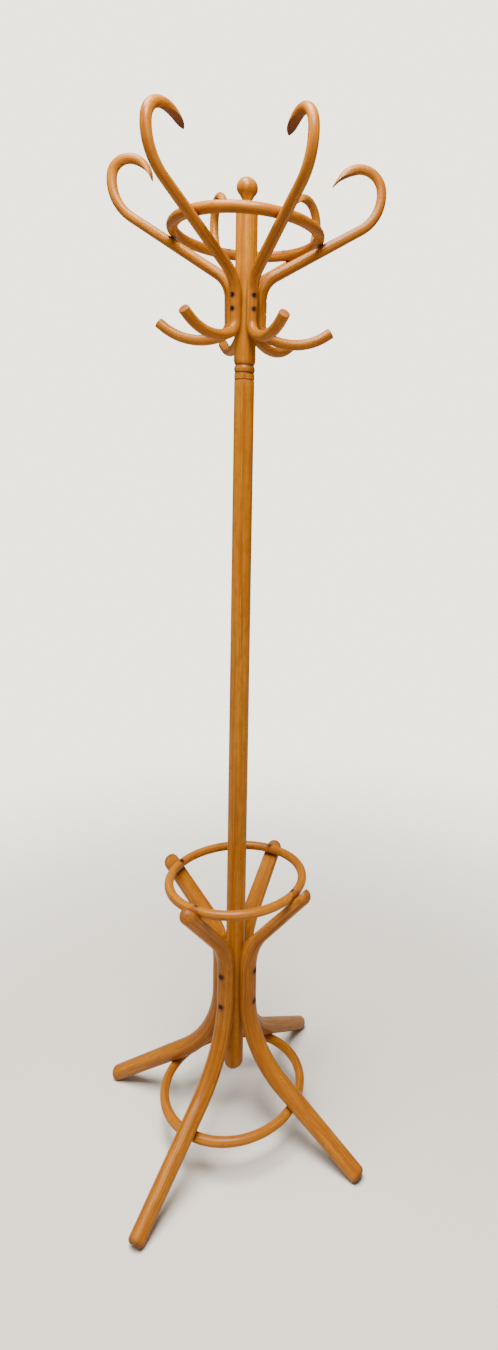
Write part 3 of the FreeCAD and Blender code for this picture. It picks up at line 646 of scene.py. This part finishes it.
def hook(*bent_further):
    """Mesh, grain, and browning and painted shade of a hook, in the XZ plane."""
    trace, run_start, scarf_start = hook_trace(*bent_further)
    slope_start = run_start + HOOK_RUN + bend(ELBOW)[0]
    marks = (0, run_start, run_start + HOOK_RUN, slope_start, slope_start + HOOK_REACH, trace.length)
    mark_radii = (ARM_RADIUS, ARM_RADIUS, HOOK_RADIUS, HOOK_RADIUS, CURL_RADIUS, CURL_RADIUS)
    starts = blunt_end(ARM_RADIUS, ARM_EDGE)
    ends = blunt_end(CURL_RADIUS, 0.0004, 3)
    stations, radii = rod_rows(trace.length, marks, mark_radii, starts, ends, HOOK_ROW_STEP)
    place = trace.at(stations)
    near_post = np.abs(stations - run_start - HOOK_RUN / 2) < HOOK_RUN
    depths = np.where(near_post, plane_cut(HOOK_SEAT, HOOK_RUN_FOOT, 180)(*place), UNCUT)
    scarf = scarf_hollow(trace, scarf_start)(*place)
    depths = np.where(stations > scarf_start, np.minimum(depths, scarf), depths)
    tip_start = trace.length - TIP_POINT
    widths = np.sqrt(1 - np.clip((stations - tip_start) / TIP_POINT, 0, 0.96) ** 2)
    mesh = sweep("hook", trace, stations, radii, depths, widths)
    holes = screws_in_post(HOOK_CENTRE + HOOK_RADIUS - SCREW_RECESS, HOOK_SCREW_HEIGHTS, "hook")
    mesh = drilled(mesh, holes)
    grain = straightened(mesh, trace)
    left, along = grain[:, 0], grain[:, 2]
    scarfed = (along > scarf_start) & (left > np.interp(along, stations, depths) - 0.0003)
    towards_tip = np.clip((along - scarf_start) / (trace.length - scarf_start), 0, 1)
    dark = np.where(scarfed, 0.6 + 0.3 * towards_tip, 0)
    dark = np.maximum(dark, 0.9 * fade(trace.length - along, 0.002, 0.016))
    dark = np.maximum(dark, 0.35 * fade(along, ARM_EDGE * 0.6, ARM_EDGE * 1.5))
    points = coordinates(mesh)
    # Painted shade where the hook touches the hat ring and inside the screw holes, and browning round the holes'
    # rims.
    dark = np.maximum(dark, np.maximum(hole_shade_and_browning(points, holes), ring_contact_shade(points, RINGS["hat_ring"])))
    return mesh, grain, dark


def leg(top_more):
    """Mesh, grain, and browning and painted shade of a leg, in the XZ plane."""
    trace, run_start = leg_trace(top_more)
    top_start = run_start + LEG_RUN + bend(LEG_TOP_BEND)[0]
    x, z, heading = (float(v) for v in trace.at(top_start))
    plane_x = x - LEG_PLANE * math.sin(heading)
    plane_z = z + LEG_PLANE * math.cos(heading)
    marks = (0, run_start - bend(LEG_LOW_BEND)[0], top_start, trace.length)
    mark_radii = (LEG_FOOT_RADIUS, LEG_RADIUS, LEG_RADIUS, LEG_TOP_RADIUS)
    nose = [(LEG_TOP_RADIUS * math.sin(a), math.cos(a)) for a in np.linspace(0, math.pi / 2 * 0.985, 14)]
    foot = blunt_end(LEG_FOOT_RADIUS, LEG_FOOT_EDGE, 9)
    stations, radii = rod_rows(trace.length, marks, mark_radii, foot, nose, LEG_ROW_STEP)
    place = trace.at(stations)
    planed = plane_cut(plane_x, plane_z, math.degrees(heading) + 90)(*place)
    depths = np.minimum(plane_cut(LEG_SEAT, LEG_RUN_FOOT, 180)(*place), planed)
    depths = np.where(stations < run_start - LEG_FLATS_BELOW, UNCUT, depths)
    depths = np.where(stations < LEG_SOLE, plane_cut(0, 0, -90)(*place), depths)
    mesh = sweep("leg", trace, stations, radii, depths, np.ones(len(stations)))
    holes = screws_in_post(LEG_CENTRE + LEG_RADIUS - SCREW_RECESS, LEG_SCREW_HEIGHTS, "leg")
    mesh = drilled(mesh, holes)
    grain = straightened(mesh, trace)
    along = grain[:, 2]
    from_nose = trace.length + LEG_TOP_RADIUS - along
    dark = np.maximum(0.75 * fade(along, 0.001, 0.012), 0.5 * fade(from_nose, 0.001, 0.009))
    points = coordinates(mesh)
    # Painted shade inside the screw holes, and browning round their rims.
    dark = np.maximum(dark, hole_shade_and_browning(points, holes))
    # Painted shade where the leg touches the umbrella ring and the base ring.
    for name in ("umbrella_ring", "base_ring"):
        dark = np.maximum(dark, ring_contact_shade(points, RINGS[name]))
    return mesh, grain, dark


def placed(made, name, number, degrees, body):
    """Turns a hook or a leg about the post to its direction."""
    mesh, grain, dark = made
    mesh.transform(about_post(degrees))
    set_looks(mesh, grain, dark, number)
    finished(mesh)
    piece_of(f"bent_{name}_{number}", mesh, body, BENT_WOOD, f"{name}_{number}")


for number, (degrees, *bent_further) in enumerate(HOOKS, 1):
    placed(hook(*bent_further), "hook", number, degrees, "head")
for number, (degrees, top_more) in enumerate(LEGS, 1):
    placed(leg(top_more), "leg", number, degrees, "base")

# ---------------------------------------------------------------- rings
RING_COLUMNS = 36
RING_STEP = 0.0028
RING_SEED, TURNED_SEED = 20, 30  # the first of the rings and of the turned pieces, for the shift of their grain


def ring_piece(node, body, screws, rods, seed):
    """A bent ring round the post, as large as its CAD node, with a countersunk hole for every screw."""
    radius, tube, height = RINGS[node]
    steps = 2 * round(math.pi * radius / RING_STEP)
    vertices, faces = [], []
    for step in range(steps):
        around = 2 * math.pi * step / steps
        for column in range(RING_COLUMNS):
            angle = 2 * math.pi * column / RING_COLUMNS
            out = radius + tube * math.cos(angle)
            vertices.append((out * math.cos(around), out * math.sin(around), height + tube * math.sin(angle)))
            low_row, high_row = step * RING_COLUMNS, (step + 1) % steps * RING_COLUMNS
            after = (column + 1) % RING_COLUMNS
            faces.append((low_row + column, high_row + column, high_row + after, low_row + after))
    mesh = bpy.data.meshes.new(node)
    mesh.from_pydata(vertices, [], faces)
    outward(mesh)
    directions, heading = screws
    way = Vector((math.cos(math.radians(heading)), 0, math.sin(math.radians(heading))))
    head_at = Vector((radius, 0, height)) - way * (tube - SCREW_RECESS)
    place = driven(head_at.x, head_at.z, heading)
    holes = [(about_post(a) @ place, SCREW_HEAD["ring"], SCREW_SHANK["ring"]) for a in directions]
    mesh = drilled(mesh, holes)
    points = coordinates(mesh)
    out = np.hypot(points[:, 0], points[:, 1])
    along = np.abs(np.arctan2(points[:, 1], points[:, 0])) * radius
    grain = np.column_stack([out - radius, points[:, 2] - height, along])
    # Painted shade where the ring lies against the hooks or legs and inside the screw holes, and browning round the
    # holes' rims.
    set_looks(mesh, grain, np.maximum(hole_shade_and_browning(points, holes), rod_contact_shade(points, directions, rods)), seed)
    finished(mesh)
    piece_of(f"bent_{node}", mesh, body, BENT_WOOD, node)


def rod_contact_shade(points, directions, rods):
    """Painted shade on a ring where it lies against a straight run of the hooks or legs, given as a point of its
    centreline in the XZ plane, its heading in degrees and its radius."""
    x, z, heading, radius = rods
    along = Vector((math.cos(math.radians(heading)), 0, math.sin(math.radians(heading))))
    dark = np.zeros(len(points))
    for degrees in directions:
        turn = about_post(degrees).to_3x3()
        offset = points - np.array(turn @ Vector((x, 0, z)))
        axis = np.array(turn @ along)
        gap = np.linalg.norm(offset - np.outer(offset @ axis, axis), axis=1) - radius
        dark = np.maximum(dark, 0.6 * fade(gap, 0.0005, 0.005))
    return dark


def straight_run(trace, distance, radius):
    """A point and heading of a centreline's straight run, and the rod's radius there."""
    x, z, heading = (float(v) for v in trace.at(distance))
    return x, z, math.degrees(heading), radius


HOOK_TRACE, HOOK_RUN_START, _ = hook_trace(0, 0, 0, 0, 0)
LEG_TRACE, _ = leg_trace(0)
SLOPE_MIDDLE = HOOK_RUN_START + HOOK_RUN + bend(ELBOW)[0] + HOOK_REACH / 2
SLOPE_RUN = straight_run(HOOK_TRACE, SLOPE_MIDDLE, HOOK_RADIUS)
TOP_RUN = straight_run(LEG_TRACE, LEG_TRACE.length, LEG_TOP_RADIUS)
LOW_RUN = straight_run(LEG_TRACE, LEG_LOW_RUN / 2, LEG_FOOT_RADIUS)
HOOK_DIRECTIONS = [degrees for degrees, *_ in HOOKS]
LEG_DIRECTIONS = [degrees for degrees, *_ in LEGS]
UMBRELLA_HEADING = TOP_RUN[2] - 90 - UMBRELLA_SCREW_TILT
ring_piece("hat_ring", "head", (HOOK_DIRECTIONS, SLOPE_RUN[2] - 90), SLOPE_RUN, RING_SEED)
ring_piece("umbrella_ring", "base", (LEG_DIRECTIONS, UMBRELLA_HEADING), TOP_RUN, RING_SEED + 1)
ring_piece("base_ring", "base", (LEG_DIRECTIONS, LOW_RUN[2] - 90), LOW_RUN, RING_SEED + 2)


# ---------------------------------------------------------------- turned pieces
def arc(start, end, radius, left, count=8):
    """Points from start to end, both (radius, height), on an arc that turns left or right, without the end."""
    a, b = Vector(start), Vector(end)
    chord = b - a
    rise = math.sqrt(max(radius**2 - (chord.length / 2) ** 2, 0))
    normal = Vector((-chord.y, chord.x)).normalized() * (1 if left else -1)
    centre = (a + b) / 2 + normal * rise
    first = math.atan2(a.y - centre.y, a.x - centre.x)
    turn = math.atan2(b.y - centre.y, b.x - centre.x) - first
    turn = (turn + math.pi) % (2 * math.pi) - math.pi
    angles = [first + turn * k / count for k in range(count)]
    return [(centre.x + radius * math.cos(t), centre.y + radius * math.sin(t)) for t in angles]


TURNED_COLUMNS = 128
TURNED_STEP = 0.012


def lathe(name, outline):
    """A closed turned piece from (radius, height) points that start and end on the axis."""
    points = [outline[0]]
    for point in outline[1:]:
        last = points[-1]
        parts = max(1, round(math.dist(last, point) / TURNED_STEP))
        points += [tuple(np.add(last, np.subtract(point, last) * k / parts)) for k in range(1, parts + 1)]
    vertices, faces, rings = [], [], []
    for radius, height in points:
        count = 1 if radius < 1e-6 else TURNED_COLUMNS
        rings.append([len(vertices) + k for k in range(count)])
        for k in range(count):
            angle = 2 * math.pi * k / TURNED_COLUMNS
            vertices.append((radius * math.cos(angle), radius * math.sin(angle), height))
    for low, high in zip(rings, rings[1:]):
        for k in range(TURNED_COLUMNS):
            after = (k + 1) % TURNED_COLUMNS
            corners = (low[k % len(low)], low[after % len(low)], high[after % len(high)], high[k % len(high)])
            face = list(dict.fromkeys(corners))
            if len(face) > 2:
                faces.append(face)
    mesh = bpy.data.meshes.new(name)
    mesh.from_pydata(vertices, [], faces)
    outward(mesh)
    return mesh


def turned_piece(node, body, outline, grooves, seed):
    """A turned piece that stands for its CAD node. Its joints are darkened, and painted shade darkens the bottoms
    of its grooves.
    """
    mesh = lathe(node, outline)
    points = coordinates(mesh)
    dark = np.zeros(len(points))
    for height, reach in grooves:
        # Painted shade in the grooves, and darker joints at the seams.
        dark = np.maximum(dark, 0.8 * fade(np.abs(points[:, 2] - height), reach * 0.4, reach))
    set_looks(mesh, points - np.array([0, 0, outline[0][1]]), dark, seed)
    finished(mesh, 24)
    piece_of(f"turned_{node}", mesh, body, POST_WOOD, node)


LOW_BOX, HIGH_BOX, BALL_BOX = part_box("lower_post"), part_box("upper_post"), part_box("ball_finial")
POST_RADIUS = LOW_BOX[1].x
HEAD_RADIUS = HIGH_BOX[1].x
FOOT, SEAM = LOW_BOX[0].z, LOW_BOX[1].z
HEAD_FOOT, POST_TOP = HIGH_BOX[0].z, HIGH_BOX[1].z
SEAM_RADIUS = 0.0172
BORE = 0.0050
BUSH_BORE = 0.0080
BORE_DEPTH = 0.060
POST_GROOVE = 0.0125  # below the seam
COLLAR_GROOVE = 0.0136  # above the seam


def lower_post():
    groove = SEAM - POST_GROOVE
    rounding = 0.014
    outline = [(0, FOOT)]
    outline += arc((POST_RADIUS - rounding, FOOT), (POST_RADIUS, FOOT + rounding), rounding, True, 10)
    outline += [(POST_RADIUS, FOOT + rounding), (POST_RADIUS, groove - 0.0016)]
    lip = POST_RADIUS - 0.0002
    outline += arc((lip, groove - 0.0011), (lip, groove + 0.0011), 0.00115, False, 8)
    outline += [(POST_RADIUS, groove + 0.0016)]
    outline += arc((POST_RADIUS, SEAM - 0.0024), (SEAM_RADIUS, SEAM), 0.0024, True, 6)
    outline += [(SEAM_RADIUS, SEAM), (BORE, SEAM), (BORE, SEAM - BORE_DEPTH), (0, SEAM - BORE_DEPTH)]
    return outline


def upper_post():
    bead = HEAD_FOOT + 0.0125
    neck = 0.0176
    groove = bead + 0.0022
    shoulder = groove + 0.0075
    top_edge = 0.002
    bore_end = HEAD_FOOT + BORE_DEPTH + 0.002
    outline = [(0, bore_end), (BUSH_BORE, bore_end), (BUSH_BORE, HEAD_FOOT)]
    outline += arc((SEAM_RADIUS, HEAD_FOOT), (neck, bead), 0.0115, True, 14)
    outline += arc((neck, bead), (neck, groove), 0.0013, False, 6)
    outline += arc((neck, groove), (HEAD_RADIUS, shoulder), 0.014, True, 10)
    outline += [(HEAD_RADIUS, shoulder), (HEAD_RADIUS, POST_TOP - top_edge)]
    outline += arc((HEAD_RADIUS, POST_TOP - top_edge), (HEAD_RADIUS - top_edge, POST_TOP), top_edge, True, 6)
    outline += [(HEAD_RADIUS - top_edge, POST_TOP), (0, POST_TOP)]
    return outline


def ball_finial():
    ball = BALL_BOX[1].x
    centre = BALL_BOX[1].z - ball
    shoulder, drop = 0.0139, 0.0115
    neck, neck_height, foot = 0.0086, 1.8155, 0.0125
    outline = [(0, POST_TOP)]
    outline += arc((foot, POST_TOP), (neck, neck_height), 0.017, False, 14)
    outline += [(neck, neck_height)]
    outline += arc((shoulder, centre - drop), (ball, centre), 0.015, True, 10)
    outline += arc((ball, centre), (0, centre + ball), ball, True, 22)
    outline += [(0, centre + ball)]
    return outline


turned_piece("lower_post", "base", lower_post(), [(SEAM, 0.002), (SEAM - POST_GROOVE, 0.0016)], TURNED_SEED)
COLLAR_GROOVES = [(HEAD_FOOT, 0.002), (HEAD_FOOT + COLLAR_GROOVE, 0.003)]
turned_piece("upper_post", "head", upper_post(), COLLAR_GROOVES, TURNED_SEED + 1)
turned_piece("ball_finial", "head", ball_finial(), [(POST_TOP, 0.002)], TURNED_SEED + 2)

# ---------------------------------------------------------------- CAD nodes that are shown as they are
for node, material in (
    ("hook_screws", SCREW_STEEL),
    ("leg_screws", SCREW_STEEL),
    ("hat_ring_screws", SCREW_STEEL),
    ("umbrella_ring_screws", SCREW_STEEL),
    ("base_ring_screws", SCREW_STEEL),
    ("spindle", SPINDLE_STEEL),
    ("spindle_bush", BUSH_BRASS),
    ("thrust_washer", WASHER_PLASTIC),
):
    slots = frame["nodes"][node].data.materials
    for index in range(max(1, len(slots))):
        if index < len(slots):
            slots[index] = material
        else:
            slots.append(material)


# ---------------------------------------------------------------- floor, light and camera
BACKDROP, BACKDROP_STRENGTH = (1.0, 0.965, 0.83), 3.2
ROOM, ROOM_STRENGTH = (1.0, 0.9, 0.75), 0.2
FLOOR_WARM, FLOOR_SEEN = (0.56, 0.51, 0.44), (0.80, 0.79, 0.77)
FADE_START, FADE_END = 0.5, 2.2


def studio_floor(name, tint, seen_tint, near, far):
    """A floor that throws back a warm light. The camera sees it in a paler tint, which fades into the backdrop
    between two distances from the stand."""
    n = Nodes(name)
    place = n.add("ShaderNodeTexCoord").outputs["Object"]
    seen = n.add("ShaderNodeLightPath").outputs["Is Camera Ray"]
    pale = n.mix(n.noise(place, 3, 3), seen_tint, tuple(c * 0.97 for c in seen_tint))
    n.put(n.shader.inputs["Base Color"], n.mix(seen, tint, pale))
    n.shader.inputs["Roughness"].default_value = 0.8
    away = n.add("ShaderNodeVectorMath", operation="LENGTH")
    n.put(away.inputs[0], place)
    backdrop = n.add("ShaderNodeEmission")
    n.put(backdrop.inputs["Color"], BACKDROP)
    n.put(backdrop.inputs["Strength"], BACKDROP_STRENGTH)
    either = n.add("ShaderNodeMixShader")
    n.put(either.inputs["Fac"], n.math("MULTIPLY", n.ramp(away.outputs["Value"], near, far), seen))
    n.tree.links.new(n.shader.outputs["BSDF"], either.inputs[1])
    n.tree.links.new(backdrop.outputs["Emission"], either.inputs[2])
    n.tree.links.new(either.outputs["Shader"], n.output.inputs["Surface"])
    return n.material


def stage():
    work = bmesh.new()
    bmesh.ops.create_grid(work, x_segments=1, y_segments=1, size=12)
    mesh = bpy.data.meshes.new("floor")
    work.to_mesh(mesh)
    work.free()
    mesh.materials.append(studio_floor("floor", FLOOR_WARM, FLOOR_SEEN, FADE_START, FADE_END))
    floor = bpy.data.objects.new("floor", mesh)
    bpy.context.scene.collection.objects.link(floor)


def area_light(name, place, aim, size, watts, tint):
    lamp = bpy.data.lights.new(name, "AREA")
    lamp.shape = "DISK"
    lamp.size = size
    lamp.energy = watts
    lamp.color = tint
    thing = bpy.data.objects.new(name, lamp)
    thing.location = place
    thing.rotation_mode = "QUATERNION"
    thing.rotation_quaternion = (Vector(aim) - Vector(place)).to_track_quat("-Z", "Y")
    bpy.context.scene.collection.objects.link(thing)


def world():
    """The camera sees an even pale backdrop. The stand is lit by a dimmer room."""
    sky = bpy.data.worlds.new("studio")
    sky.use_nodes = True
    tree = sky.node_tree
    backdrop = tree.nodes["Background"]
    backdrop.inputs["Color"].default_value = (*BACKDROP, 1)
    backdrop.inputs["Strength"].default_value = BACKDROP_STRENGTH
    room = tree.nodes.new("ShaderNodeBackground")
    room.inputs["Color"].default_value = (*ROOM, 1)
    room.inputs["Strength"].default_value = ROOM_STRENGTH
    seen = tree.nodes.new("ShaderNodeLightPath")
    either = tree.nodes.new("ShaderNodeMixShader")
    tree.links.new(seen.outputs["Is Camera Ray"], either.inputs["Fac"])
    tree.links.new(room.outputs["Background"], either.inputs[1])
    tree.links.new(backdrop.outputs["Background"], either.inputs[2])
    tree.links.new(either.outputs["Shader"], tree.nodes["World Output"].inputs["Surface"])
    bpy.context.scene.world = sky


def soft_sun(name, toward, spread, strength, tint):
    """A wide soft light from far away, which lights the floor evenly."""
    lamp = bpy.data.lights.new(name, "SUN")
    lamp.angle = math.radians(spread)
    lamp.energy = strength
    lamp.color = tint
    thing = bpy.data.objects.new(name, lamp)
    thing.rotation_mode = "QUATERNION"
    thing.rotation_quaternion = Vector(toward).to_track_quat("Z", "Y")
    bpy.context.scene.collection.objects.link(thing)


IMAGE_HEIGHT = 1350
CAMERA_BACK = 1.3941  # in front of the post's axis
CAMERA_HEIGHT = 1.3030
CAMERA_YAW, CAMERA_PITCH, CAMERA_ROLL = 9.151, -5.445, 1.781  # degrees
FOCAL_SHARE = 725.8 / IMAGE_HEIGHT  # focal length over the image's height
SHIFT_X, SHIFT_Y = -0.0807, -0.0881  # of the image's height


def camera():
    yaw, pitch, roll = (math.radians(a) for a in (CAMERA_YAW, CAMERA_PITCH, CAMERA_ROLL))
    forward = Vector((math.sin(yaw), math.cos(yaw), 0))
    right = Vector((math.cos(yaw), -math.sin(yaw), 0))
    up = Vector((0, 0, 1))
    ahead = forward * math.cos(pitch) + up * math.sin(pitch)
    above = up * math.cos(pitch) - forward * math.sin(pitch)
    side = right * math.cos(roll) + above * math.sin(roll)
    above = above * math.cos(roll) - right * math.sin(roll)
    data = bpy.data.cameras.new("camera")
    data.sensor_fit = "AUTO"
    data.sensor_width = 36
    data.lens = 36 * FOCAL_SHARE
    data.shift_x, data.shift_y = SHIFT_X, SHIFT_Y
    thing = bpy.data.objects.new("camera", data)
    thing.matrix_world = Matrix.Translation((0, -CAMERA_BACK, CAMERA_HEIGHT)) @ Matrix((
        (side.x, above.x, -ahead.x, 0),
        (side.y, above.y, -ahead.y, 0),
        (side.z, above.z, -ahead.z, 0),
        (0, 0, 0, 1),
    ))
    bpy.context.scene.collection.objects.link(thing)
    bpy.context.scene.camera = thing


WARM = (1.0, 0.92, 0.78)
stage()
world()
soft_sun("overhead", toward=(-0.3, -0.30, 1.5), spread=36, strength=3.7, tint=(1.0, 0.95, 0.87))
area_light("ceiling", place=(-0.4, -0.3, 3.0), aim=(0, 0, 1.7), size=0.8, watts=44, tint=WARM)
area_light("lamp", place=(0.0, -1.05, 2.7), aim=(0, 0, 1.45), size=0.8, watts=60, tint=WARM)
camera()
